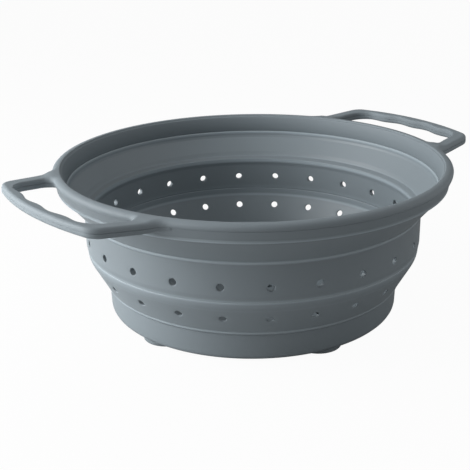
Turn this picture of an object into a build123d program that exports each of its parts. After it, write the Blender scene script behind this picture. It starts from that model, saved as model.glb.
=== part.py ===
from build123d import *
import os
from math import atan, cos, degrees, hypot, radians, sin

# A round folding colander with two loop handles, standing on five feet. Millimetres.
# Z is 0 on the plane of the feet, and the handles point along +X and -X.

# Rim: two hard shells, one above the other, that clamp the edge of the soft bowl
rim_radius = 125.0
rim_top_width = 7.0
rim_height = 10.4
rim_outer_lean = 4.2
rim_roof = 1.9
rim_inner_wall = 1.5
rim_inner_lean = 2.0
rim_inner_drop = 1.0
seam_depth = 3.0
seam_gap = 0.3

# Handles: a bowed bar on two flared arms, rising a little outwards
handle_length = 28.8
handle_bow_radius = 174.0
handle_height = 5.9
handle_bar_width = 5.3
handle_tip_half = 52.9
handle_root_half = 60.8
handle_root_margin = 8.0
handle_corner_round = 8.0
handle_root_round = 16.0
handle_hinge_inset = 6.25
handle_tip_rise = 2.9
handle_overlap = 1.0
handle_root_sink = 0.3
slot_tip_half = 45.0
slot_root_half = 50.5
slot_tip_round = 14.0
slot_root_round = 4.0

# Low bumps between the fingers, along the inner side of each bar
bump_count = 3
bump_pitch = 25.0
bump_radius = 36.0
bump_height = 1.6

# Pegs of the lower shell in sockets of the upper one, two at each handle
peg_inset_x = 13.0
peg_at_y = 54.0
peg_radius = 2.0
peg_height = 1.5
peg_clearance = 0.15

# Edge bead of the bowl, held between the two shells
bead_height = 5.0
bead_clearance = 0.15
neck_thickness = 1.3
neck_drop = 0.5
pocket_outer_wall = 1.2

# Bands of the soft bowl, from the rim down
upper_fold_height = 15.2
upper_fold_thickness = 1.3
wall_inset = 18.9
wall_height = 23.9
wall_thickness = 3.0
wall_shoulder_height = 6.4
lower_fold_height = 23.9
lower_fold_thickness = 1.5
cup_inset = 13.2
cup_lean = 0.6
cup_height = 18.1
cup_thickness = 2.8
cup_corner_round = 3.6
seat_gap = 0.3

# Raised edges where a thin fold meets a stiff band
edge_proud = 0.5
edge_height = 1.6
edge_round = 0.4

# Floor: a perforated disc in the rebate of the cup's bottom flange
floor_thickness = 3.0
flange_width = 14.9
flange_joint_lean = 1.0
floor_rebate = 3.0
floor_clearance = 0.15

# Feet: low pads that fit under the rounded foot of the cup, one near the front
foot_height = 1.6
foot_count = 5
foot_turn_degrees = -99.2
foot_inset = 1.4
foot_depth = 9.5
foot_curve_radius = 14.5
foot_corner_round = 2.0
foot_edge_round = 0.8

# Drain holes: one row in the wall, one in the lower fold, and rings in the floor
row_count = 24
row_turn_degrees = -3.5
hole_diameter = 4.4
wall_hole_height = 9.1
fold_hole_share = 0.49
floor_margin_share = 0.78
floor_ring_counts = (6, 12, 18, 24, 30)
cut_overrun = 4.0

# Places in plan, all from the rim's radius
handle_reach = rim_radius + handle_length
handle_root_at = ((rim_radius - handle_root_margin) ** 2 - handle_root_half**2) ** 0.5
handle_hinge_at = rim_radius - handle_hinge_inset
peg_at_x = rim_radius - peg_inset_x
rim_inner_radius = rim_radius - rim_top_width
wall_radius = rim_radius - wall_inset
cup_radius = wall_radius - cup_inset
flange_inner_radius = cup_radius - flange_width
foot_outer_radius = cup_radius - foot_inset
floor_ring_pitch = flange_inner_radius / (len(floor_ring_counts) + floor_margin_share)
hole_radius = hole_diameter / 2

# Heights of the bands
cup_top = foot_height + cup_height
wall_bottom = cup_top + lower_fold_height
wall_top = wall_bottom + wall_height
neck_bottom = wall_top + upper_fold_height
rim_bottom = neck_bottom + rim_inner_drop + neck_drop
rim_top = rim_bottom + rim_height
floor_bottom = foot_height
floor_top = floor_bottom + floor_thickness
upper_seam = rim_top - seam_depth
lower_seam = upper_seam - seam_gap
rim_inner_height = rim_height + rim_inner_drop


def inner_wall_radius(height):
    """Radius of the rim's inner side at a height."""
    return rim_inner_radius - rim_inner_lean * (rim_top - height) / rim_inner_height


def outer_wall_radius(height):
    """Radius of the rim's outer side at a height."""
    return rim_radius - rim_outer_lean * (rim_top - height) / rim_height


def turned(outline):
    """Solid of revolution of a closed outline of (radius, height) points."""
    face = make_face(Plane.XZ * Polyline(*outline, close=True))
    return revolve(face, Axis.Z, 360)


def turned_rounded(outline, roundings):
    """The same, with the corners at the given outline points rounded."""
    face = make_face(Polyline(*outline, close=True))
    for (radius, height), rounding in roundings:
        corner = face.vertices().sort_by_distance(Vector(radius, height))[0]
        face = fillet([corner], rounding)
    return revolve(Plane.XZ * face, Axis.Z, 360)


def drum(radius, low, high):
    """Cylinder on the Z axis from one height to another."""
    return Pos(0, 0, low) * extrude(Circle(radius), high - low)


def tapered_plan(tip_half, root_half, reach, bow_radius):
    """Bowed end of a loop, on arms that flare from the tip to the root."""
    corner_at = reach - bow_radius + (bow_radius**2 - tip_half**2) ** 0.5
    slope = (root_half - tip_half) / (corner_at - handle_root_at)
    beyond = reach + cut_overrun
    beyond_half = tip_half - slope * (beyond - corner_at)
    arms = make_face(
        Polyline(
            (handle_root_at, -root_half),
            (beyond, -beyond_half),
            (beyond, beyond_half),
            (handle_root_at, root_half),
            close=True,
        )
    )
    return arms & (Pos(reach - bow_radius, 0) * Circle(bow_radius))


def rounded_tip(plan, rounding):
    """Rounds the two corners of a plan that lie furthest out."""
    return fillet(plan.vertices().sort_by(Axis.X)[-2:], rounding)


def bump_plan():
    """Low bumps on the inner side of the bar, one between each two fingers."""
    bow_radius = handle_bow_radius - handle_bar_width
    centre_at = handle_reach - handle_bow_radius
    bumps = Sketch()
    for index in range(bump_count):
        across = bump_pitch * (index - (bump_count - 1) / 2)
        along = centre_at + (bow_radius**2 - across**2) ** 0.5
        bumps += Pos(along - bump_height + bump_radius, across) * Circle(bump_radius)
    return bumps


def corners_on_circle(plan, radius):
    """Corners of a plan at +X that lie on a circle about the centre."""
    return [
        point
        for point in plan.vertices()
        if point.X > 0 and abs(hypot(point.X, point.Y) - radius) < seam_gap
    ]


def slot_plan(root_radius):
    """Finger slot between a rim of this radius and the bar."""
    reach = handle_reach - handle_bar_width
    bow_radius = handle_bow_radius - handle_bar_width
    slot = tapered_plan(slot_tip_half, slot_root_half, reach, bow_radius)
    slot = rounded_tip(slot, slot_tip_round) - Circle(root_radius)
    slot = fillet(corners_on_circle(slot, root_radius), slot_root_round)
    return slot - bump_plan()


def handle_plan(root_radius):
    """Outline of one handle, flared into a rim of this radius, with its slot open."""
    loop = tapered_plan(handle_tip_half, handle_root_half, handle_reach, handle_bow_radius)
    joined = rounded_tip(loop, handle_corner_round) + Circle(root_radius)
    joined = fillet(corners_on_circle(joined, root_radius), handle_root_round)
    return joined - slot_plan(root_radius)


def both_ends(piece):
    """A piece at +X and its twin at -X."""
    return piece + Rot(0, 0, 180) * piece


def handle_plates(low, high, root_radius):
    """Both handles between two depths under the rim's top, on a disc of the root's radius."""
    plan = handle_plan(root_radius)
    beyond = handle_reach + cut_overrun
    outer_side = Pos(handle_hinge_at + beyond / 2, 0) * Rectangle(beyond, beyond * 2)
    root_side = Pos(handle_overlap, 0) * Rectangle(handle_hinge_at * 2, beyond * 2)
    tilt = atan(handle_tip_rise / (handle_reach - handle_hinge_at))
    slope = Plane(
        origin=(handle_hinge_at, 0, rim_top),
        x_dir=(cos(tilt), 0, sin(tilt)),
        z_dir=(-sin(tilt), 0, cos(tilt)),
    )
    root = Pos(0, 0, rim_top + low) * extrude(plan & root_side, high - low)
    outer_plan = Pos(-handle_hinge_at, 0) * ((plan & outer_side) - Circle(root_radius))
    outer = slope.offset(low) * extrude(outer_plan, high - low)
    return both_ends(root + outer)


def bead_pocket():
    """Hollow between the shells that holds the bead, down to the ledge under it."""
    top = rim_top - rim_roof
    bottom = top - bead_height - bead_clearance * 2
    outer = outer_wall_radius(bottom) - pocket_outer_wall
    return [
        (inner_wall_radius(top) + rim_inner_wall, top),
        (outer, top),
        (outer, bottom),
        (inner_wall_radius(bottom) + rim_inner_wall, bottom),
    ]


def neck_outer_radius():
    """Outer radius of the bowl's neck, which leaves the rim beside the inner wall."""
    return inner_wall_radius(rim_bottom) + rim_inner_wall + bead_clearance + neck_thickness


def rim_upper_shell():
    """Top shell: roof, inner wall and the upper half of both handles."""
    wall_foot = rim_top - rim_inner_height
    roof_bottom = rim_top - rim_roof
    ring = turned(
        [
            (rim_inner_radius, rim_top),
            (rim_radius, rim_top),
            (outer_wall_radius(upper_seam), upper_seam),
            (inner_wall_radius(upper_seam) + rim_inner_wall, upper_seam),
            (inner_wall_radius(wall_foot) + rim_inner_wall, wall_foot),
            (inner_wall_radius(wall_foot), wall_foot),
        ]
    )
    root_radius = outer_wall_radius(upper_seam) - handle_root_sink
    plates = handle_plates(-seam_depth, 0, root_radius)
    shell = ring + (plates - drum(rim_inner_radius + rim_inner_wall, rim_bottom, rim_top))
    return shell - turned(bead_pocket()) - pegs(peg_radius + peg_clearance, peg_height + peg_clearance)


def rim_lower_shell():
    """Bottom shell: skirt with a ledge under the bead, and the lower half of both handles."""
    lip_radius = neck_outer_radius() + bead_clearance
    skirt = turned(
        [
            (lip_radius, rim_bottom),
            (outer_wall_radius(rim_bottom), rim_bottom),
            (outer_wall_radius(lower_seam), lower_seam),
            (lip_radius, lower_seam),
        ]
    )
    root_radius = outer_wall_radius(rim_top - handle_height) - handle_root_sink
    plates = handle_plates(-handle_height, -seam_depth - seam_gap, root_radius)
    shell = skirt + (plates - drum(lip_radius, rim_bottom, rim_top))
    return shell - turned(bead_pocket()) + pegs(peg_radius, peg_height)


def pegs(radius, height):
    """Four pegs that stand on the seam, or the tool that cuts their sockets."""
    low = lower_seam - seam_gap
    high = upper_seam + height
    row = Sketch()
    for side in (-1, 1):
        row += Pos(peg_at_x, side * peg_at_y) * Circle(radius)
    return both_ends(Pos(0, 0, low) * extrude(row, high - low))


def bowl_bead():
    """Thick edge of the soft bowl, and the neck that leaves the rim below it."""
    pocket = bead_pocket()
    top = pocket[0][1] - bead_clearance
    bottom = top - bead_height
    outer = pocket[1][0] - bead_clearance
    wall_gap = rim_inner_wall + bead_clearance
    return turned(
        [
            (inner_wall_radius(top) + wall_gap, top),
            (outer, top),
            (outer, bottom),
            (neck_outer_radius(), bottom),
            (neck_outer_radius(), neck_bottom),
            (neck_outer_radius() - neck_thickness, neck_bottom),
            (neck_outer_radius() - neck_thickness, rim_bottom),
        ]
    )


def upper_fold():
    """Thin band between the rim and the wall, which turns inside out."""
    low = wall_top + seat_gap
    return turned(
        [
            (neck_outer_radius() - upper_fold_thickness, neck_bottom),
            (neck_outer_radius(), neck_bottom),
            (wall_radius, low),
            (wall_radius - upper_fold_thickness, low),
        ]
    )


def row_hole(radius, height, lean):
    """Cutter for one hole at a radius and height, square to a wall that leans in."""
    length = wall_thickness * 2 + cut_overrun * 2
    return Pos(radius, 0, height) * Rot(0, 90 + lean, 0) * Cylinder(hole_radius, length)


def cut_row(ring, radius, height, lean):
    """Cuts a row of evenly spaced holes through a ring."""
    for index in range(row_count):
        turn = row_turn_degrees + 360 * index / row_count
        ring -= Rot(0, 0, turn) * row_hole(radius, height, lean)
    return ring


def side_wall():
    """Stiff band with a raised edge at both ends and one row of holes."""
    outer = wall_radius
    proud = wall_radius + edge_proud
    inner = wall_radius - wall_thickness
    shoulder = wall_radius - upper_fold_thickness
    outline = [
        (shoulder, wall_top),
        (proud, wall_top),
        (proud, wall_top - edge_height),
        (outer, wall_top - edge_height - edge_proud),
        (outer, wall_bottom + edge_height + edge_proud),
        (proud, wall_bottom + edge_height),
        (proud, wall_bottom),
        (inner - edge_proud, wall_bottom),
        (inner - edge_proud, wall_bottom + edge_height),
        (inner, wall_bottom + edge_height + edge_proud),
        (inner, wall_top - wall_shoulder_height),
    ]
    roundings = [(outline[index], edge_round) for index in (1, 2, 5, 6, 7, 8)]
    ring = turned_rounded(outline, roundings)
    middle = wall_radius - wall_thickness / 2
    return cut_row(ring, middle, wall_bottom + wall_hole_height, 0)


def lower_fold():
    """Band between the wall and the cup, with the second row of holes."""
    low = cup_top + seat_gap
    outline = [
        (wall_radius - lower_fold_thickness, wall_bottom),
        (wall_radius, wall_bottom),
        (cup_radius, low),
        (cup_radius - lower_fold_thickness, low),
    ]
    lean = degrees(atan((wall_radius - cup_radius) / (wall_bottom - low)))
    height = wall_bottom + fold_hole_share * (low - wall_bottom)
    radius = wall_radius + fold_hole_share * (cup_radius - wall_radius) - lower_fold_thickness / 2
    return cut_row(turned(outline), radius, height, lean)


def flange_joint():
    """Where the wall of the cup and its flange meet, from the top of the floor down."""
    inner_foot = cup_radius - cup_lean - cup_thickness
    return [(inner_foot, floor_top), (inner_foot - flange_joint_lean, floor_bottom)]


def cup_wall():
    """Lowest stiff band, with a rounded outer corner at its foot."""
    joint_top, joint_bottom = flange_joint()
    outline = [
        (cup_radius - cup_thickness, cup_top),
        (cup_radius + edge_proud, cup_top),
        (cup_radius + edge_proud, cup_top - edge_height),
        (cup_radius, cup_top - edge_height - edge_proud),
        (cup_radius - cup_lean, floor_bottom),
        joint_bottom,
        joint_top,
    ]
    roundings = [
        (outline[1], edge_round),
        (outline[2], edge_round),
        (outline[4], cup_corner_round),
    ]
    return turned_rounded(outline, roundings)


def cup_flange():
    """Flange inside the foot of the cup, which carries the feet and holds the floor."""
    joint_top, joint_bottom = flange_joint()
    half_floor = floor_bottom + floor_thickness / 2
    rebate = flange_inner_radius + floor_rebate
    return turned(
        [
            (flange_inner_radius, floor_bottom),
            (flange_inner_radius, half_floor),
            (rebate, half_floor),
            (rebate, floor_top),
            joint_top,
            joint_bottom,
        ]
    )


def drain_floor():
    """Perforated disc that lies in the rebate of the cup's flange."""
    half_floor = floor_bottom + floor_thickness / 2
    disc = drum(flange_inner_radius - floor_clearance, floor_bottom, floor_top)
    disc += drum(flange_inner_radius + floor_rebate - floor_clearance, half_floor, floor_top)
    holes = Sketch() + Circle(hole_radius)
    for ring_index, count in enumerate(floor_ring_counts):
        ring_radius = floor_ring_pitch * (ring_index + 1)
        for index in range(count):
            turn = radians(row_turn_degrees + 360 * index / count)
            holes += Pos(ring_radius * cos(turn), ring_radius * sin(turn)) * Circle(hole_radius)
    low = floor_bottom - cut_overrun
    return disc - Pos(0, 0, low) * extrude(holes, floor_top + cut_overrun - low)


def cup_form():
    """Outer form of the cup's foot, which the feet fit against."""
    side_top = cup_top - edge_height - edge_proud
    outline = [
        (0, floor_bottom),
        (cup_radius - cup_lean, floor_bottom),
        (cup_radius, side_top),
        (0, side_top),
    ]
    return turned_rounded(outline, [(outline[1], cup_corner_round)])


def foot(index):
    """One low pad under the foot of the cup, with a round outer side."""
    round_side = Pos(foot_outer_radius - foot_curve_radius, 0) * Circle(foot_curve_radius)
    plan = round_side - Circle(foot_outer_radius - foot_depth)
    plan = fillet(corners_on_circle(plan, foot_outer_radius - foot_depth), foot_corner_round)
    pad = extrude(plan, foot_height + cup_corner_round)
    lowest = pad.faces().sort_by(Axis.Z)[0]
    pad = fillet(lowest.edges(), foot_edge_round) - cup_form()
    return Rot(0, 0, foot_turn_degrees + 360 * index / foot_count) * pad


def feet():
    """The feet, each under its own name."""
    names = ("foot_front", "foot_right", "foot_back_right", "foot_back_left", "foot_left")
    return {name: foot(index) for index, name in enumerate(names)}


def main():
    """Builds every piece and writes one file for each."""
    pieces = {
        "rim_upper_shell": rim_upper_shell(),
        "rim_lower_shell": rim_lower_shell(),
        "bowl_bead": bowl_bead(),
        "upper_fold": upper_fold(),
        "side_wall": side_wall(),
        "lower_fold": lower_fold(),
        "cup_wall": cup_wall(),
        "cup_flange": cup_flange(),
        "drain_floor": drain_floor(),
    }
    pieces.update(feet())
    os.makedirs("parts", exist_ok=True)
    for name, piece in pieces.items():
        export_step(piece, f"parts/{name}.step")


main()
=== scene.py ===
import bmesh
import bpy
from math import atan2, ceil, cos, hypot, pi, radians, sin, sqrt, tau
from mathutils import Matrix, Vector
from mathutils.geometry import delaunay_2d_cdt, intersect_point_line


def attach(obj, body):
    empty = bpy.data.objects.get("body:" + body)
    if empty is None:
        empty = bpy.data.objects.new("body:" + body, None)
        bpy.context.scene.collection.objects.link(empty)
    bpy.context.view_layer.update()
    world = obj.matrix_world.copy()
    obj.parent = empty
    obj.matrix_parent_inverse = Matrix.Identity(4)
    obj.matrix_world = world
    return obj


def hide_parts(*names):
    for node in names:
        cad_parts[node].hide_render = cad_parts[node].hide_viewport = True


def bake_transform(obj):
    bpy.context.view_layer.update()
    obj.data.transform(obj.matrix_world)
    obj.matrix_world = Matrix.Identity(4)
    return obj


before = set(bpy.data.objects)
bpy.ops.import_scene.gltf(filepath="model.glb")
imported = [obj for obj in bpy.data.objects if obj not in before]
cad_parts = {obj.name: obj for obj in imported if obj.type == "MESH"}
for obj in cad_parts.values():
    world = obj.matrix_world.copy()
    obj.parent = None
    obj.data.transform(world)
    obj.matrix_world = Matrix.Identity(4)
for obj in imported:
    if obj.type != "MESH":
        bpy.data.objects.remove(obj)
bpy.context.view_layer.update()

# All lengths are in millimetres until a mesh, light or camera is made
metres_per_mm = 0.001

# Middle of the bowl in plan
origin = Vector((0, 0))

# Heights of the bands, from the plane of the feet
cup_top = 19.7
wall_bottom = 43.6
wall_top = 67.5
rim_bottom = 84.2
rim_top = 94.6
rim_height = rim_top - rim_bottom

# Rim
rim_radius = 125.0
rim_outer_lean = 4.2
rim_inner_radius = 118.0
rim_inner_foot = 116.05
rim_inner_depth = 10.6
rim_inner_wall = 1.5
rim_top_round = 2.6
rim_top_spread = 1.7
rim_crown = 1.0
rim_crown_radius = 119.6
rim_flat = 0.4
bore_round = 0.9
lip_radius = 119.3
seam_depth = 3.0
seam_gap = 0.08
ledge_depth = seam_depth + seam_gap
seam_step = 0.15
seam_round = 0.2
seam_proud = 0.15
roll_top = 86.1
roll_crest = 85.5
roll_proud = 0.9
roll_round = 0.5
ring_fade = 5.0
round_fade = 12.0

# Handles
handle_height = 5.9
handle_reach = 153.8
handle_bow = 174.0
handle_tip_half = 52.9
handle_root_half = 60.8
handle_root_at = 100.0
handle_corner_round = 10.0
handle_root_round = 16.0
handle_top_round = 2.2
handle_foot_round = 1.4
handle_sink_radius = 121.8
slot_reach = 148.5
slot_bow = 168.7
slot_tip_half = 45.0
slot_root_half = 50.5
slot_tip_round = 14.0
slot_root_round = 4.0
slot_top_round = 1.0
bump_pitch = 25.0
bump_height = 1.6
bump_pitches_each_way = 1.5
rise_from = 118.75
rise_ease = 5.0
rise_slope = 0.0827
rise_fade = 6.0

# Bowl
neck_radius = 119.1
neck_bottom = 82.9
upper_fold_thickness = 1.3
wall_radius = 106.1
wall_thickness = 3.0
wall_inner_radius = wall_radius - wall_thickness
upper_fold_slope = (neck_radius - wall_radius) / (neck_bottom - wall_top)
shoulder_height = 6.2
wall_foot_inset = 0.6
wall_foot_height = 3.8
wall_foot_round = 8.0
lower_fold_thickness = 1.5
fold_bulge = 1.1
fold_corner_inset = 0.8
fold_corner_drop = 3.7
fold_corner_round = 12.0
inner_bend_height = 38.6
inner_bend_round = 9.0
cup_radius = 92.9
cup_foot_radius = 92.3
cup_thickness = 2.8
cup_corner = 3.6
cup_bottom = 1.6
flange_inner_radius = 78.0
floor_rebate_radius = 81.0
floor_seat_height = 3.1
floor_top = 4.6
edge_round = 0.4
hinge_thin = 0.6
hinge_height = 3.2
fold_round = 1.4
shoulder_round = 0.9
shoulder_crest = 1.3
shoulder_middle = 3.8
shoulder_proud = 0.5
lip_top = 83.95
lip_crest_radius = 115.5
lip_crest_height = 81.2
lip_root_radius = 115.0
lip_root_height = 79.6
lip_round = 0.6
lip_root_round = 0.8
bead_radius = 120.75
bead_inner_radius = 119.35
bead_top = 92.5
bead_foot = 87.6
bead_corner = 0.4

# Soft edges that fill the corner under a fold: how far up the fold, and where crest and foot lie
fill_height = 1.1
fill_proud = 0.05
fill_round = 0.2
wall_crest_radius = 106.9
cup_crest_radius = 94.5
crest_drop = 0.1
crest_round = 0.8
fill_foot_drop = 1.5
fill_foot_round = 1.0

# Painted light: the colour is made paler along each fold line as painted highlights, and in the inner corner
# where the wall meets the lower fold as painted light over its shade; the thin folds are painted paler all
# over, standing in for light bounced up from the floor
painted_light_reach = 1.9
painted_light_gain = 0.65
painted_light_corner_height = 42.5
painted_light_corner_share = 0.4
painted_light_corner_reach = 5.0
fold_painted_bounce_share = 0.12
fine_step = 0.7

# Drain holes
row_count = 24
row_turn = radians(-3.5)
hole_turn = tau / row_count
hole_radius = 2.2
wall_hole_height = 52.7
fold_hole_share = 0.49
hole_zone_half = 4.6
hole_round = 0.4

# Fineness of the meshes
columns_per_hole = 12
rows_per_hole = 4
ring_columns = row_count * columns_per_hole
column_turn = tau / ring_columns
columns_start = row_turn + hole_turn / 2
hole_ring_shares = (2 / 3, 1 / 3, 0)
outline_step = 1.4
rim_outline_step = 2.8
least_step = 0.2
arc_steps = 5
same_point = 1e-6

# Option of the triangulation: only triangles inside the outermost outline
inside_only = 1

# Materials
specular_level = 0.35
bowl_colour = (0.158, 0.187, 0.205)
bowl_roughness = 0.5
bowl_grain = 0.35
bowl_grain_height = 0.03
rim_colour = bowl_colour
rim_roughness = 0.65
rim_grain = 0.5
rim_grain_height = 0.004
foot_colour = (0.13, 0.155, 0.17)
foot_roughness = 0.6
cloud_scale = 22.0
cloud_detail = 3.0
cloud_depth = 0.03
gloss_scale = 60.0
gloss_depth = 0.04
grain_detail = 2.0
grain_strength = 0.35

# Studio: lamps as name, place, width, height and power, placed as the camera sees the bowl
floor_size = 9000.0
floor_colour = (0.45, 0.45, 0.45, 1)
floor_white_share = 0.96
world_colour = (1, 1, 1, 1)
world_strength = 0.34
bowl_middle = (0, 0, 60)
lamps = (
    ("lamp_left", (-750, -20, 330), 600, 600, 10.5),
    ("lamp_left_front", (-680, -320, 330), 600, 600, 3.2),
    ("lamp_right", (800, 0, 300), 600, 600, 1.3),
    ("lamp_top", (550, 150, 1000), 900, 900, 1.3),
    ("lamp_back", (0, 1500, 900), 2400, 1200, 0.6),
)

# Camera, from the photograph: seen from the side of the left handle, 38 degrees off the front
image_pixels = 470
focal_pixels = 935.4
sensor_width = 36.0
camera_turn = radians(37.8)
camera_pitch = radians(20.46)
camera_roll = radians(-0.75)
camera_side = -11.27
camera_back = -567.6
camera_above_rim = 161.3


def unit(vector):
    """The same direction, one long."""
    return vector / vector.length


def short_turn(start, end):
    """The turn from one angle to another, the short way round."""
    return (end - start + pi) % tau - pi


def arc(centre, radius, start, end, step):
    """Points of a plan arc, the short way from one angle to the other."""
    turn = short_turn(start, end)
    count = max(arc_steps, ceil(abs(turn) * radius / step))
    points = []
    for index in range(count + 1):
        angle = start + turn * index / count
        points.append(centre + Vector((cos(angle), sin(angle))) * radius)
    return points


def angle_from(centre, point):
    """Direction of a point seen from a centre, in radians."""
    return atan2(point.y - centre.y, point.x - centre.x)


def rounding_centre(start, end, side, centre, radius):
    """Centre of a rounding that runs beside a line and meets a circle, and the line's normal."""
    along = unit(end - start)
    normal = Vector((-along.y, along.x))
    base = start + normal * side - centre
    middle = base.dot(along)
    reach = sqrt(middle**2 - base.dot(base) + radius**2)
    return centre + base + along * (reach - middle), normal


def loop_half(reach, bow, tip_half, root_half, tip_round, root_round, root_side):
    """Half outline of a handle or its slot: bow, corner, arm, and the rounding into the rim."""
    bow_centre = Vector((reach - bow, 0))
    corner = Vector((bow_centre.x + sqrt(bow**2 - tip_half**2), tip_half))
    root = Vector((handle_root_at, root_half))
    tip_centre, normal = rounding_centre(root, corner, -tip_round, bow_centre, bow - tip_round)
    tip_on_bow = bow_centre + unit(tip_centre - bow_centre) * bow
    tip_on_arm = tip_centre + normal * tip_round
    side = root_round * root_side
    root_centre, normal = rounding_centre(root, corner, side, origin, rim_radius + root_round)
    root_on_arm = root_centre - normal * side
    root_on_rim = unit(root_centre) * rim_radius
    points = arc(bow_centre, bow, 0, angle_from(bow_centre, tip_on_bow), outline_step)
    start = angle_from(tip_centre, tip_on_bow)
    points += arc(tip_centre, tip_round, start, angle_from(tip_centre, tip_on_arm), outline_step)
    count = ceil((root_on_arm - tip_on_arm).length / outline_step)
    points += [tip_on_arm.lerp(root_on_arm, index / count) for index in range(1, count)]
    start = angle_from(root_centre, root_on_arm)
    points += arc(root_centre, root_round, start, angle_from(root_centre, root_on_rim), outline_step)
    return points


def mirrored(points, flip_x, flip_y):
    """The same points on another side, in the order that keeps the outline running on."""
    return [Vector((point.x * flip_x, point.y * flip_y)) for point in reversed(points)]


def clean(points):
    """A closed outline without repeated points."""
    kept = []
    for point in points:
        if not kept or (point - kept[-1]).length > least_step:
            kept.append(point)
    if (kept[0] - kept[-1]).length < least_step:
        kept.pop()
    return kept


def outer_half():
    """Outer outline of one handle, from the middle of its bar to the rim."""
    return loop_half(
        handle_reach,
        handle_bow,
        handle_tip_half,
        handle_root_half,
        handle_corner_round,
        handle_root_round,
        1,
    )


def outer_outline():
    """Outline of the rim with both handles, the left way round."""
    quarter = outer_half()
    start = angle_from(origin, quarter[-1])
    quarter += arc(origin, rim_radius, start, pi / 2, rim_outline_step)
    half = quarter + mirrored(quarter, -1, 1)
    return clean(half + [point * -1 for point in half])


def handle_outline():
    """Outline of one handle, closed by an arc inside the rim."""
    half = outer_half()
    half += arc(origin, handle_sink_radius, angle_from(origin, half[-1]), 0, outline_step)
    return clean(half + mirrored(half, 1, -1))


def bump(point):
    """How far the bar's inner side stands in between two fingers."""
    if abs(point.y) > bump_pitch * bump_pitches_each_way:
        return 0
    return bump_height * (1 + cos(point.y / bump_pitch * tau)) / 2


def slot_outline():
    """Outline of one finger slot, with low waves on the bar's side."""
    half = loop_half(
        slot_reach,
        slot_bow,
        slot_tip_half,
        slot_root_half,
        slot_tip_round,
        slot_root_round,
        -1,
    )
    half += arc(origin, rim_radius, angle_from(origin, half[-1]), 0, outline_step)
    waved = []
    for point in half:
        share = smooth((point.x - rim_radius) / (slot_reach - rim_radius))
        waved.append(Vector((point.x - bump(point) * share, point.y)))
    return clean(waved + mirrored(waved, 1, -1))


def smooth(share):
    """Runs softly from 0 to 1."""
    share = min(max(share, 0), 1)
    return share * share * (3 - 2 * share)


def outward(points):
    """Outward normals of a closed outline that runs the left way round."""
    normals = []
    for index, point in enumerate(points):
        along = points[(index + 1) % len(points)] - points[index - 1]
        normals.append(unit(Vector((along.y, -along.x))))
    return normals


def circle_outline(radius):
    """Closed circle of points about the middle."""
    angles = [column_turn * column for column in range(ring_columns)]
    return [Vector((cos(angle), sin(angle))) * radius for angle in angles]


def rise(point):
    """How far the top of a handle lies above the rim at a point in plan."""
    beyond = abs(point.x) - rise_from
    if beyond > rise_ease:
        lift = beyond
    elif beyond > -rise_ease:
        lift = (beyond + rise_ease) ** 2 / (rise_ease * 4)
    else:
        lift = 0
    return rise_slope * lift * smooth((point.length - rim_radius) / rise_fade)


def placed(point, depth):
    """A plan point at a depth under the top, with the rim's top domed and its side leaning in."""
    share = 1 - smooth((point.length - rim_radius) / ring_fade)
    lean = rim_outer_lean * depth / rim_height * share
    crown = rim_crown * share * max(0, 1 - depth / seam_depth)
    moved = point * (1 - lean / point.length)
    return (moved.x, moved.y, rim_top - depth + crown + rise(point))


def skirt_radius(height):
    """Radius of the rim's outer side at a height."""
    return rim_radius - rim_outer_lean * (rim_top - height) / rim_height


def edge_rounding(point, at_handle):
    """Rounding of an upper edge, which changes from the rim out to the handle's bar."""
    share = smooth((point.length - rim_radius) / round_fade)
    return rim_top_round + (at_handle - rim_top_round) * share


def top_spread(point):
    """How many times wider than high the rounding of the top's edge is."""
    share = smooth((point.length - rim_radius) / ring_fade)
    return rim_top_spread + (1 - rim_top_spread) * share


def quarter_turn():
    """Sine and cosine over a quarter circle."""
    return [(sin(pi / 2 * k / arc_steps), cos(pi / 2 * k / arc_steps)) for k in range(arc_steps + 1)]


class Shape:
    """Vertices and faces of one piece while it is built."""

    def __init__(self):
        self.points = []
        self.faces = []

    def row(self, points):
        """Adds points, and gives back their numbers."""
        start = len(self.points)
        self.points += [tuple(point) for point in points]
        return list(range(start, len(self.points)))

    def strip(self, first, second):
        """Joins two closed rows of the same length."""
        count = len(first)
        for index in range(count):
            after = (index + 1) % count
            self.faces.append((first[index], first[after], second[after], second[index]))

    def strips(self, rows):
        """Joins each closed row to the next."""
        for above, below in zip(rows, rows[1:]):
            self.strip(above, below)

    def fill(self, outline, holes):
        """Fills the area between an outline and its holes, given as rows of numbers."""
        rows = [outline, *holes]
        plans = [[Vector(self.points[number][:2]) for number in row] for row in rows]
        numbers = [number for row in rows for number in row]
        edges = []
        start = 0
        for row in rows:
            edges += [(start + k, start + (k + 1) % len(row)) for k in range(len(row))]
            start += len(row)
        flat = [point for plan in plans for point in plan]
        corners, _, triangles, origins, *_ = delaunay_2d_cdt(flat, edges, [], inside_only, same_point)
        for triangle in triangles:
            middle = sum((corners[k] for k in triangle), Vector((0, 0))) / len(triangle)
            in_hole = any(contains(plan, middle) for plan in plans[1:])
            if contains(plans[0], middle) and not in_hole:
                self.faces.append([numbers[origins[k][0]] for k in triangle])

    def piece(self, name, material):
        """Makes the object, in metres and smooth."""
        mesh = bpy.data.meshes.new(name)
        mesh.from_pydata([Vector(p) * metres_per_mm for p in self.points], [], self.faces)
        work = bmesh.new()
        work.from_mesh(mesh)
        bmesh.ops.remove_doubles(work, verts=work.verts, dist=same_point)
        bmesh.ops.recalc_face_normals(work, faces=work.faces)
        for face in work.faces:
            face.smooth = True
        work.to_mesh(mesh)
        work.free()
        mesh.materials.append(material)
        made = bpy.data.objects.new(name, mesh)
        bpy.context.scene.collection.objects.link(made)
        return made


def contains(outline, point):
    """Whether a plan point lies inside a closed outline."""
    found = False
    for index, here in enumerate(outline):
        before = outline[index - 1]
        if (here.y > point.y) != (before.y > point.y):
            cross = here.x + (before.x - here.x) * (point.y - here.y) / (before.y - here.y)
            if point.x < cross:
                found = not found
    return found


def circle_row(shape, radius, height):
    """One full level circle of points about the middle."""
    return shape.row((point.x, point.y, height) for point in circle_outline(radius))


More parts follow.
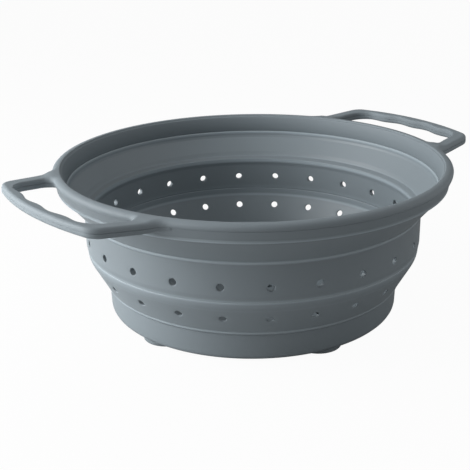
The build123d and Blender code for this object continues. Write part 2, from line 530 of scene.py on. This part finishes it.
def upper_edge(shape, outline, way, at_handle):
    """Strips from the top over a rounded edge down to the seam, and their first and last rows."""
    normals = outward(outline)
    rows = []
    steps = [(rim_flat, 0, 1)]
    steps += [(0, sine, cosine) for sine, cosine in quarter_turn()]
    for flat, sine, cosine in steps:
        row = []
        for point, normal in zip(outline, normals):
            rounding = edge_rounding(point, at_handle)
            inset = rounding * (1 - sine) * top_spread(point) + flat
            row.append(placed(point + normal * way * inset, rounding * (1 - cosine)))
        rows.append(shape.row(row))
    for inset, depth in ((0, seam_depth - seam_step), (seam_step, seam_depth)):
        row = []
        for point, normal in zip(outline, normals):
            row.append(placed(point + normal * way * inset * normal.y**2, depth))
        rows.append(shape.row(row))
    shape.strips(rows)
    return rows[0], rows[-1]


def bore_section():
    """Inner wall of the rim as (radius, depth), from the top down round its foot and up to the seam."""
    section = []
    for sine, cosine in quarter_turn():
        section.append((rim_inner_radius + bore_round * (1 - sine), bore_round * (1 - cosine)))
    outer_foot = rim_inner_foot + rim_inner_wall
    return section + [
        (rim_inner_foot, rim_inner_depth - seam_round),
        (rim_inner_foot + seam_round, rim_inner_depth),
        (outer_foot - seam_round, rim_inner_depth),
        (outer_foot, rim_inner_depth - seam_round),
        (rim_inner_radius + rim_inner_wall - seam_round, seam_depth),
    ]


def rim_upper_piece(material):
    """Upper moulding of the rim: top, inner wall and the upper half of both handles."""
    shape = Shape()
    right_slot = slot_outline()
    left_slot = [point * -1 for point in right_slot]
    edges = [upper_edge(shape, outer_outline(), -1, handle_top_round)]
    edges += [upper_edge(shape, slot, 1, slot_top_round) for slot in (right_slot, left_slot)]
    tops, seams = zip(*edges)
    bore = [circle_row(shape, radius, rim_top - depth) for radius, depth in bore_section()]
    shape.strips(bore)
    crown = circle_row(shape, rim_crown_radius, rim_top + rim_crown)
    shape.fill(tops[0], [crown, *tops[1:]])
    arch = [crown]
    for sine, cosine in quarter_turn()[1:-1]:
        radius = rim_crown_radius + (rim_inner_radius + bore_round - rim_crown_radius) * sine
        arch.append(circle_row(shape, radius, rim_top + rim_crown * cosine))
    shape.strips([*arch, bore[0]])
    shape.fill(seams[0], [bore[-1], *seams[1:]])
    return shape.piece("rim_upper_moulding", material)


def lower_steps():
    """Steps down the side of a handle's lower half as (inset, depth), with both edges rounded."""
    steps = []
    for sine, cosine in quarter_turn():
        steps.append((seam_round * (1 - sine), ledge_depth + seam_round * (1 - cosine)))
    for sine, cosine in quarter_turn():
        depth = handle_height - handle_foot_round * (1 - sine)
        steps.append((handle_foot_round * (1 - cosine), depth))
    return steps


def lower_edge(shape, outline, way):
    """Strips down one side of a handle's lower half, and their first and last rows."""
    normals = outward(outline)
    rows = []
    for inset, depth in lower_steps():
        row = []
        for point, normal in zip(outline, normals):
            proud = seam_proud * normal.y**2 * smooth((point.length - rim_radius) / ring_fade)
            row.append(placed(point + normal * way * (inset - proud), depth))
        rows.append(shape.row(row))
    shape.strips(rows)
    return rows[0], rows[-1]


def rim_lower_piece(material):
    """Lower moulding of the rim: the outer skirt, and the lower half of both handles."""
    shape = Shape()
    ledge = rim_top - ledge_depth
    roll_radius = skirt_radius(rim_bottom) + roll_proud
    skirt = rounded_section(
        [
            (skirt_radius(ledge), ledge, seam_round),
            (skirt_radius(roll_top), roll_top, roll_round),
            (roll_radius, roll_crest, roll_round),
            (roll_radius, rim_bottom, roll_round),
            (lip_radius, rim_bottom, 0),
            (lip_radius, ledge, 0),
        ]
    )
    rows = [turned_row(shape, point) for point in finer(skirt)]
    shape.strips([rows[-1], *rows])
    outline = handle_outline()
    slot = slot_outline()
    for side in (1, -1):
        outer_top, outer_foot = lower_edge(shape, [point * side for point in outline], -1)
        slot_top, slot_foot = lower_edge(shape, [point * side for point in slot], 1)
        shape.fill(outer_top, [slot_top])
        shape.fill(outer_foot, [slot_foot])
    made = shape.piece("rim_lower_moulding", material)
    # Painted highlight along the roll at the foot of the rim, as paler colour
    mark_painted_light(made.data, 0)
    return made


def rounded_section(corners):
    """Closed section of (radius, height) points from corners with their roundings."""
    points = []
    count = len(corners)
    for index, (radius, height, rounding) in enumerate(corners):
        here = Vector((radius, height))
        if not rounding:
            points.append(here)
            continue
        before = unit(Vector(corners[index - 1][:2]) - here)
        after = unit(Vector(corners[(index + 1) % count][:2]) - here)
        half = before.angle(after) / 2
        reach = rounding * cos(half) / sin(half)
        centre = here + unit(before + after) * (rounding / sin(half))
        start = angle_from(centre, here + before * reach)
        end = angle_from(centre, here + after * reach)
        turn = short_turn(start, end)
        for step in range(arc_steps + 1):
            angle = start + turn * step / arc_steps
            points.append(centre + Vector((cos(angle), sin(angle))) * rounding)
    return points


def turned(point, angle):
    """Place of a (radius, height) at an angle round the bowl."""
    return (point.x * cos(angle), point.x * sin(angle), point.y)


def turned_row(shape, point):
    """One full circle of points at a (radius, height)."""
    return shape.row(turned(point, columns_start + column_turn * column) for column in range(ring_columns))


def cell_sides(shape, top, bottom):
    """Points down the upright sides of the holes' cells, a row for each height between top and bottom."""
    rows = {}
    for row in range(1, rows_per_hole):
        point = top.lerp(bottom, row / rows_per_hole)
        rows[row] = shape.row(turned(point, columns_start + hole_turn * hole) for hole in range(row_count))
    return rows


def cell_numbers(hole, upper_row, lower_row, sides):
    """Numbers of the points round one hole's cell: along its top, down, back and up."""
    first = hole * columns_per_hole
    columns = [(first + step) % ring_columns for step in range(columns_per_hole + 1)]
    numbers = [upper_row[column] for column in columns]
    numbers += [sides[row][(hole + 1) % row_count] for row in range(1, rows_per_hole)]
    numbers += [lower_row[column] for column in reversed(columns)]
    numbers += [sides[row][hole] for row in range(rows_per_hole - 1, 0, -1)]
    return numbers


def cell_border(half_height):
    """Places round a cell in the same order, as a turn from its middle and a height up the face."""
    border = []
    for step in range(columns_per_hole + 1):
        border.append((hole_turn * (step / columns_per_hole - 1 / 2), half_height))
    for step in range(1, rows_per_hole):
        border.append((hole_turn / 2, half_height * (1 - 2 * step / rows_per_hole)))
    return border + [(-across, -height) for across, height in border]


def hole_rings():
    """Rings from a cell into a hole's rounded edge, as a share of the cell, a depth and a radius."""
    rings = [(share, 0, hole_radius + hole_round) for share in hole_ring_shares]
    for sine, cosine in quarter_turn()[1:]:
        rings.append((0, hole_round * (1 - cosine), hole_radius + hole_round * (1 - sine)))
    return rings


def hole_face(shape, section, rows, upper, lower):
    """Fills one side of the pierced zone, and gives back the innermost ring of each hole."""
    top = section[upper]
    bottom = section[lower]
    sides = cell_sides(shape, top, bottom)
    middle = (top + bottom) / 2
    up = unit(top - bottom)
    out = Vector((up.y, -up.x))
    if upper > lower:
        out = -out
    border = cell_border((top - bottom).length / 2)
    first_angle = pi - tau * rows_per_hole / 2 / len(border)
    innermost = []
    for hole in range(row_count):
        centre_angle = row_turn + hole_turn * (hole + 1)
        previous = cell_numbers(hole, rows[upper], rows[lower], sides)
        for share, depth, radius in hole_rings():
            ring = []
            for index, (border_turn, border_height) in enumerate(border):
                angle = first_angle - tau * index / len(border)
                height = radius * sin(angle) * (1 - share) + border_height * share
                spot = middle + up * height - out * depth
                across = radius * cos(angle) / spot.x * (1 - share) + border_turn * share
                ring.append(turned(spot, centre_angle + across))
            ring = shape.row(ring)
            shape.strip(previous, ring)
            previous = ring
        innermost.append(previous)
    return innermost


def banded_piece(name, material, section, outer_zone=None, inner_zone=None, painted_light_base=0):
    """Ring with a closed section, and a row of holes between two points on each side of it."""
    shape = Shape()
    rows = [turned_row(shape, point) for point in section]
    skipped = []
    if outer_zone:
        skipped = [outer_zone, inner_zone]
    for index in range(len(rows)):
        after = (index + 1) % len(rows)
        if (index, after) not in skipped:
            shape.strip(rows[index], rows[after])
    if outer_zone:
        outer_rings = hole_face(shape, section, rows, outer_zone[0], outer_zone[1])
        inner_rings = hole_face(shape, section, rows, inner_zone[1], inner_zone[0])
        for outer_ring, inner_ring in zip(outer_rings, inner_rings):
            shape.strip(outer_ring, inner_ring)
    made = shape.piece(name, material)
    # Painted highlights along the fold lines, and painted light in the inner corner, as paler colour
    mark_painted_light(made.data, painted_light_base)
    return made


def upper_fold_piece(material):
    """Edge bead, neck and upper fold, which is thin where it meets the wall."""
    groove_top = wall_top + hinge_height
    neck_inner = neck_radius - upper_fold_thickness
    groove_radius = wall_radius + upper_fold_slope * hinge_height - upper_fold_thickness
    section = rounded_section(
        [
            (bead_radius, bead_top, bead_corner),
            (bead_radius, bead_foot, bead_corner),
            (neck_radius, bead_foot, 0),
            (neck_radius, neck_bottom, fold_round),
            (wall_radius, wall_top, 0),
            (wall_radius - hinge_thin, wall_top, 0),
            (groove_radius, groove_top, fold_round),
            (lip_root_radius, lip_root_height, lip_root_round),
            (lip_crest_radius, lip_crest_height, lip_round),
            (lip_crest_radius, lip_top, lip_round),
            (neck_inner, lip_top, 0),
            (bead_inner_radius, bead_top, bead_corner),
        ]
    )
    # The whole fold is painted paler, standing in for light bounced up from the floor
    return banded_piece("bowl_upper_fold", material, finer(section), painted_light_base=fold_painted_bounce_share)


def side_wall_piece(material):
    """Stiff band with soft edges and the upper row of holes."""
    foot = wall_radius - wall_foot_inset
    zone_top = Vector((wall_radius, wall_hole_height + hole_zone_half))
    zone_bottom = Vector((wall_radius, wall_hole_height - hole_zone_half))
    depth = Vector((wall_thickness, 0))
    section = rounded_section(
        [
            *filled_edge(wall_radius, wall_top, wall_crest_radius, wall_radius, upper_fold_slope),
            (*zone_top, 0),
            (*zone_bottom, 0),
            (wall_radius, wall_bottom + wall_foot_height, wall_foot_round),
            (foot, wall_bottom, 0),
            (wall_inner_radius, wall_bottom, 0),
            (wall_inner_radius, zone_bottom.y, 0),
            (wall_inner_radius, zone_top.y, 0),
            (wall_inner_radius, wall_top - shoulder_height, shoulder_round),
            (wall_inner_radius - shoulder_proud, wall_top - shoulder_middle, shoulder_round),
            (wall_inner_radius - shoulder_proud, wall_top - shoulder_crest, shoulder_round),
            (wall_radius - upper_fold_thickness, wall_top, edge_round),
        ]
    )
    return pierced_piece("bowl_side_wall", material, section, zone_top, zone_bottom, depth)


def filled_edge(radius, height, crest_radius, fold_radius, slope):
    """Corners of the soft edge at the top of a band, from the side of the fold above it down."""
    fold_side = fold_radius + slope * fill_height
    return [
        (fold_side + fill_proud, height + fill_height, fill_round),
        (crest_radius, height - crest_drop, crest_round),
        (radius, height - fill_foot_drop, fill_foot_round),
    ]


def pierced_piece(name, material, section, zone_top, zone_bottom, depth, painted_light_base=0):
    """Banded piece with holes between two points of its outer side, straight in by a depth."""
    section = finer(section)
    outer_zone = (nearest(section, zone_top), nearest(section, zone_bottom))
    inner_zone = (nearest(section, zone_bottom - depth), nearest(section, zone_top - depth))
    return banded_piece(name, material, section, outer_zone, inner_zone, painted_light_base)


def nearest(section, point):
    """Number of the section's point that lies nearest to a place."""
    return min(range(len(section)), key=lambda number: (section[number] - point).length)


def lower_fold_side(share):
    """Point of the lower fold's bulged outer side at a share of the way down, and the ways up and out."""
    top = Vector((wall_radius, wall_bottom))
    bottom = Vector((cup_radius, cup_top))
    along = unit(top - bottom)
    normal = Vector((along.y, -along.x))
    return top.lerp(bottom, share) + normal * fold_bulge, along, normal


def lower_fold_piece(material):
    """Band between the wall and the cup, with the lower row of holes square to its slope."""
    middle, along, normal = lower_fold_side(fold_hole_share)
    top = Vector((wall_radius - wall_foot_inset, wall_bottom))
    corner = Vector((wall_radius - fold_corner_inset, wall_bottom - fold_corner_drop))
    bottom = middle - along * (middle.y - cup_top) / along.y
    across = Vector((lower_fold_thickness, 0))
    depth = normal * normal.x * lower_fold_thickness
    zone_top = middle + along * hole_zone_half
    zone_bottom = middle - along * hole_zone_half
    section = rounded_section(
        [
            (*top, 0),
            (*corner, fold_corner_round),
            (*zone_top, 0),
            (*zone_bottom, 0),
            (*bottom, 0),
            (*(bottom - across), 0),
            (*(zone_bottom - depth), 0),
            (*(zone_top - depth), 0),
            (wall_inner_radius, inner_bend_height, inner_bend_round),
            (wall_inner_radius, wall_bottom, 0),
        ]
    )
    # The whole fold is painted paler, standing in for light bounced up from the floor
    return pierced_piece("bowl_lower_fold", material, section, zone_top, zone_bottom, depth, fold_painted_bounce_share)


def cup_piece(material):
    """Stiff bottom band, with its rounded corner and the flange that holds the floor."""
    inner = cup_radius - cup_thickness
    inner_foot = cup_foot_radius - cup_thickness
    middle, along, _ = lower_fold_side(fold_hole_share)
    slope = along.x / along.y
    fold_foot = middle.x - (middle.y - cup_top) * slope
    section = rounded_section(
        [
            *filled_edge(cup_radius, cup_top, cup_crest_radius, fold_foot, slope),
            (cup_foot_radius, cup_bottom, cup_corner),
            (flange_inner_radius, cup_bottom, edge_round),
            (flange_inner_radius, floor_seat_height, 0),
            (floor_rebate_radius, floor_seat_height, 0),
            (floor_rebate_radius, floor_top, edge_round),
            (inner_foot, floor_top, cup_corner - cup_thickness / 2),
            (inner, cup_top, edge_round),
        ]
    )
    return banded_piece("bowl_cup", material, finer(section))


def painted_light_spots():
    """Painted highlight lines in the section, and painted light over the shade of one inner corner, as a
    place (radius, height), how strong each is, and its reach.
    """
    shoulder_radius = wall_inner_radius - shoulder_proud
    middle = (shoulder_crest + shoulder_middle) / 2
    roll_radius = skirt_radius(rim_bottom) + roll_proud
    return [
        (Vector((roll_radius, rim_bottom)), 1, painted_light_reach),
        (Vector((wall_crest_radius, wall_top)), 1, painted_light_reach),
        (Vector((wall_radius - wall_foot_inset, wall_bottom)), 1, painted_light_reach),
        (Vector((cup_crest_radius, cup_top)), 1, painted_light_reach),
        (Vector((lip_crest_radius, lip_top - lip_round)), 1, painted_light_reach),
        (Vector((shoulder_radius, wall_top - middle)), 1, painted_light_reach),
        (Vector((wall_inner_radius, inner_bend_height)), 1, painted_light_reach),
        (Vector((wall_inner_radius, painted_light_corner_height)), painted_light_corner_share, painted_light_corner_reach),
    ]


def finer(section):
    """The same closed section, in short steps where it runs near a painted highlight line."""
    points = []
    for index, here in enumerate(section):
        after = section[(index + 1) % len(section)]
        count = 1
        for spot, _, reach in painted_light_spots():
            _, share = intersect_point_line(spot, here, after)
            nearest_point = here.lerp(after, min(max(share, 0), 1))
            if (nearest_point - spot).length < reach:
                count = ceil((after - here).length / fine_step)
        points += [here.lerp(after, step / count) for step in range(count)]
    return points


def mark_painted_light(mesh, least):
    """Stores how much painted light each point of a piece gets, from its place at rest."""
    marks = mesh.attributes.new("painted_light_amount", "FLOAT", "POINT")
    for index, vertex in enumerate(mesh.vertices):
        place = Vector((hypot(vertex.co.x, vertex.co.y), vertex.co.z)) / metres_per_mm
        amount = least
        for spot, strength, reach in painted_light_spots():
            amount = max(amount, strength * smooth(1 - (place - spot).length / reach))
        marks.data[index].value = amount


def cloudy_colour(material, place, colour):
    """Colour with faint clouding, with painted light as paler colour where a piece is marked with it."""
    nodes = material.node_tree.nodes
    links = material.node_tree.links
    tint = nodes.new("ShaderNodeMix")
    tint.data_type = "RGBA"
    tint.inputs["A"].default_value = (*[part * (1 - cloud_depth) for part in colour], 1)
    tint.inputs["B"].default_value = (*[part * (1 + cloud_depth) for part in colour], 1)
    links.new(noise(material, place, cloud_scale, cloud_detail), tint.inputs["Factor"])
    # Painted light: the stored amount makes the colour paler
    painted_light_amount = nodes.new("ShaderNodeAttribute")
    painted_light_amount.attribute_name = "painted_light_amount"
    gain = nodes.new("ShaderNodeMath")
    gain.operation = "MULTIPLY_ADD"
    gain.inputs[1].default_value = painted_light_gain
    gain.inputs[2].default_value = 1
    links.new(painted_light_amount.outputs["Fac"], gain.inputs[0])
    painted_lighter = nodes.new("ShaderNodeVectorMath")
    painted_lighter.operation = "SCALE"
    links.new(tint.outputs["Result"], painted_lighter.inputs[0])
    links.new(gain.outputs["Value"], painted_lighter.inputs["Scale"])
    return painted_lighter.outputs["Vector"]


def uneven_gloss(material, place, roughness):
    """Roughness that differs a little from patch to patch."""
    gloss = material.node_tree.nodes.new("ShaderNodeMapRange")
    gloss.inputs["To Min"].default_value = roughness - gloss_depth
    gloss.inputs["To Max"].default_value = roughness + gloss_depth
    patches = noise(material, place, gloss_scale, cloud_detail)
    material.node_tree.links.new(patches, gloss.inputs["Value"])
    return gloss.outputs["Result"]


def fine_grain(material, place, grain_size, grain_height):
    """Normal of a fine eroded grain."""
    bump_node = material.node_tree.nodes.new("ShaderNodeBump")
    bump_node.inputs["Strength"].default_value = grain_strength
    bump_node.inputs["Distance"].default_value = grain_height * metres_per_mm
    grain = noise(material, place, 1 / (grain_size * metres_per_mm), grain_detail)
    material.node_tree.links.new(grain, bump_node.inputs["Height"])
    return bump_node.outputs["Normal"]


def moulded(name, colour, roughness, grain_size, grain_height):
    """Moulded plastic or silicone: faint clouding, uneven gloss and a fine eroded grain."""
    material = bpy.data.materials.new(name)
    material.use_nodes = True
    nodes = material.node_tree.nodes
    links = material.node_tree.links
    place = nodes.new("ShaderNodeTexCoord").outputs["Object"]
    shader = nodes["Principled BSDF"]
    shader.inputs["Specular IOR Level"].default_value = specular_level
    links.new(cloudy_colour(material, place, colour), shader.inputs["Base Color"])
    links.new(uneven_gloss(material, place, roughness), shader.inputs["Roughness"])
    links.new(fine_grain(material, place, grain_size, grain_height), shader.inputs["Normal"])
    return material


def noise(material, place, scale, detail):
    """Output of a noise texture at a scale."""
    node = material.node_tree.nodes.new("ShaderNodeTexNoise")
    node.inputs["Scale"].default_value = scale
    node.inputs["Detail"].default_value = detail
    material.node_tree.links.new(place, node.inputs["Vector"])
    return node.outputs["Fac"]


def seen_white(tree, lit, output, white_kind, share):
    """Sends a shader to an output, and white in its place to the camera, also through clear things."""
    nodes = tree.nodes
    links = tree.links
    path = nodes.new("ShaderNodeLightPath")
    seen = nodes.new("ShaderNodeMath")
    seen.operation = "MAXIMUM"
    links.new(path.outputs["Is Camera Ray"], seen.inputs[0])
    links.new(path.outputs["Is Transmission Ray"], seen.inputs[1])
    amount = nodes.new("ShaderNodeMath")
    amount.operation = "MULTIPLY"
    amount.inputs[1].default_value = share
    links.new(seen.outputs["Value"], amount.inputs[0])
    white = nodes.new(white_kind)
    mix = nodes.new("ShaderNodeMixShader")
    links.new(amount.outputs["Value"], mix.inputs["Fac"])
    links.new(lit, mix.inputs[1])
    links.new(white.outputs[0], mix.inputs[2])
    links.new(mix.outputs["Shader"], nodes[output].inputs["Surface"])


def make_floor():
    """Plain white floor that shows a faint shadow."""
    bpy.ops.mesh.primitive_plane_add(size=floor_size * metres_per_mm)
    floor = bpy.context.object
    floor.name = "floor"
    material = bpy.data.materials.new("floor_white")
    material.use_nodes = True
    tree = material.node_tree
    shader = tree.nodes["Principled BSDF"]
    shader.inputs["Base Color"].default_value = floor_colour
    shader.inputs["Roughness"].default_value = 1
    seen_white(tree, shader.outputs["BSDF"], "Material Output", "ShaderNodeEmission", floor_white_share)
    floor.data.materials.append(material)


def make_world():
    """Even pale surroundings, white to the camera."""
    world = bpy.data.worlds.new("studio")
    world.use_nodes = True
    bpy.context.scene.world = world
    tree = world.node_tree
    background = tree.nodes["Background"]
    background.inputs["Color"].default_value = world_colour
    background.inputs["Strength"].default_value = world_strength
    seen_white(tree, background.outputs["Background"], "World Output", "ShaderNodeBackground", 1)


def from_camera(side, back, up):
    """Turns a place given as right of, behind and above the bowl, as the camera sees it."""
    spot = Vector((side, back, up)) * metres_per_mm
    spot.rotate(Matrix.Rotation(-camera_turn, 3, "Z"))
    return spot


def add_lamp(name, spot, size_x, size_y, power):
    """Soft rectangular lamp that looks at the middle of the bowl."""
    data = bpy.data.lights.new(name, "AREA")
    data.shape = "RECTANGLE"
    data.size = size_x * metres_per_mm
    data.size_y = size_y * metres_per_mm
    data.energy = power
    lamp = bpy.data.objects.new(name, data)
    bpy.context.scene.collection.objects.link(lamp)
    lamp.location = from_camera(*spot)
    direction = from_camera(*bowl_middle) - lamp.location
    lamp.rotation_mode = "QUATERNION"
    lamp.rotation_quaternion = direction.to_track_quat("-Z", "Y")


def make_camera():
    """Camera at the photograph's place and angle."""
    data = bpy.data.cameras.new("camera")
    data.sensor_fit = "HORIZONTAL"
    data.sensor_width = sensor_width
    data.lens = focal_pixels / image_pixels * sensor_width
    camera = bpy.data.objects.new("camera", data)
    bpy.context.scene.collection.objects.link(camera)
    turn = Matrix.Rotation(-camera_turn, 4, "Z")
    tilt = Matrix.Rotation(pi / 2 - camera_pitch, 4, "X")
    roll = Matrix.Rotation(camera_roll, 4, "Z")
    place = Vector((camera_side, camera_back, rim_top + camera_above_rim)) * metres_per_mm
    camera.matrix_world = turn @ Matrix.Translation(place) @ tilt @ roll
    bpy.context.scene.camera = camera


make_camera()
make_world()
make_floor()
for lamp in lamps:
    add_lamp(*lamp)

silicone = moulded("silicone_slate", bowl_colour, bowl_roughness, bowl_grain, bowl_grain_height)
hard_plastic = moulded("rim_slate", rim_colour, rim_roughness, rim_grain, rim_grain_height)
floor_plastic = moulded("floor_slate", rim_colour, bowl_roughness, bowl_grain, bowl_grain_height)
foot_rubber = moulded("foot_rubber", foot_colour, foot_roughness, bowl_grain, bowl_grain_height)

rim_upper = rim_upper_piece(hard_plastic)
rim_lower = rim_lower_piece(hard_plastic)
for piece, node in ((rim_upper, "rim_upper_shell"), (rim_lower, "rim_lower_shell")):
    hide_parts(node)
    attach(piece, "rim")

upper_fold = upper_fold_piece(silicone)
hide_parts("upper_fold", "bowl_bead")
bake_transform(upper_fold)

side_wall = side_wall_piece(silicone)
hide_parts("side_wall")
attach(side_wall, "wall")

lower_fold = lower_fold_piece(silicone)
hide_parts("lower_fold")
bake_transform(lower_fold)

cup = cup_piece(silicone)
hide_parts("cup_wall", "cup_flange")
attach(cup, "base")

# The floor and the feet keep the shapes that the frame gives them
for name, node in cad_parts.items():
    if node.hide_render:
        continue
    material = foot_rubber if name.startswith("foot") else floor_plastic
    node.data.materials.clear()
    node.data.materials.append(material)

bpy.context.scene.view_settings.view_transform = "Standard"
bpy.context.view_layer.update()
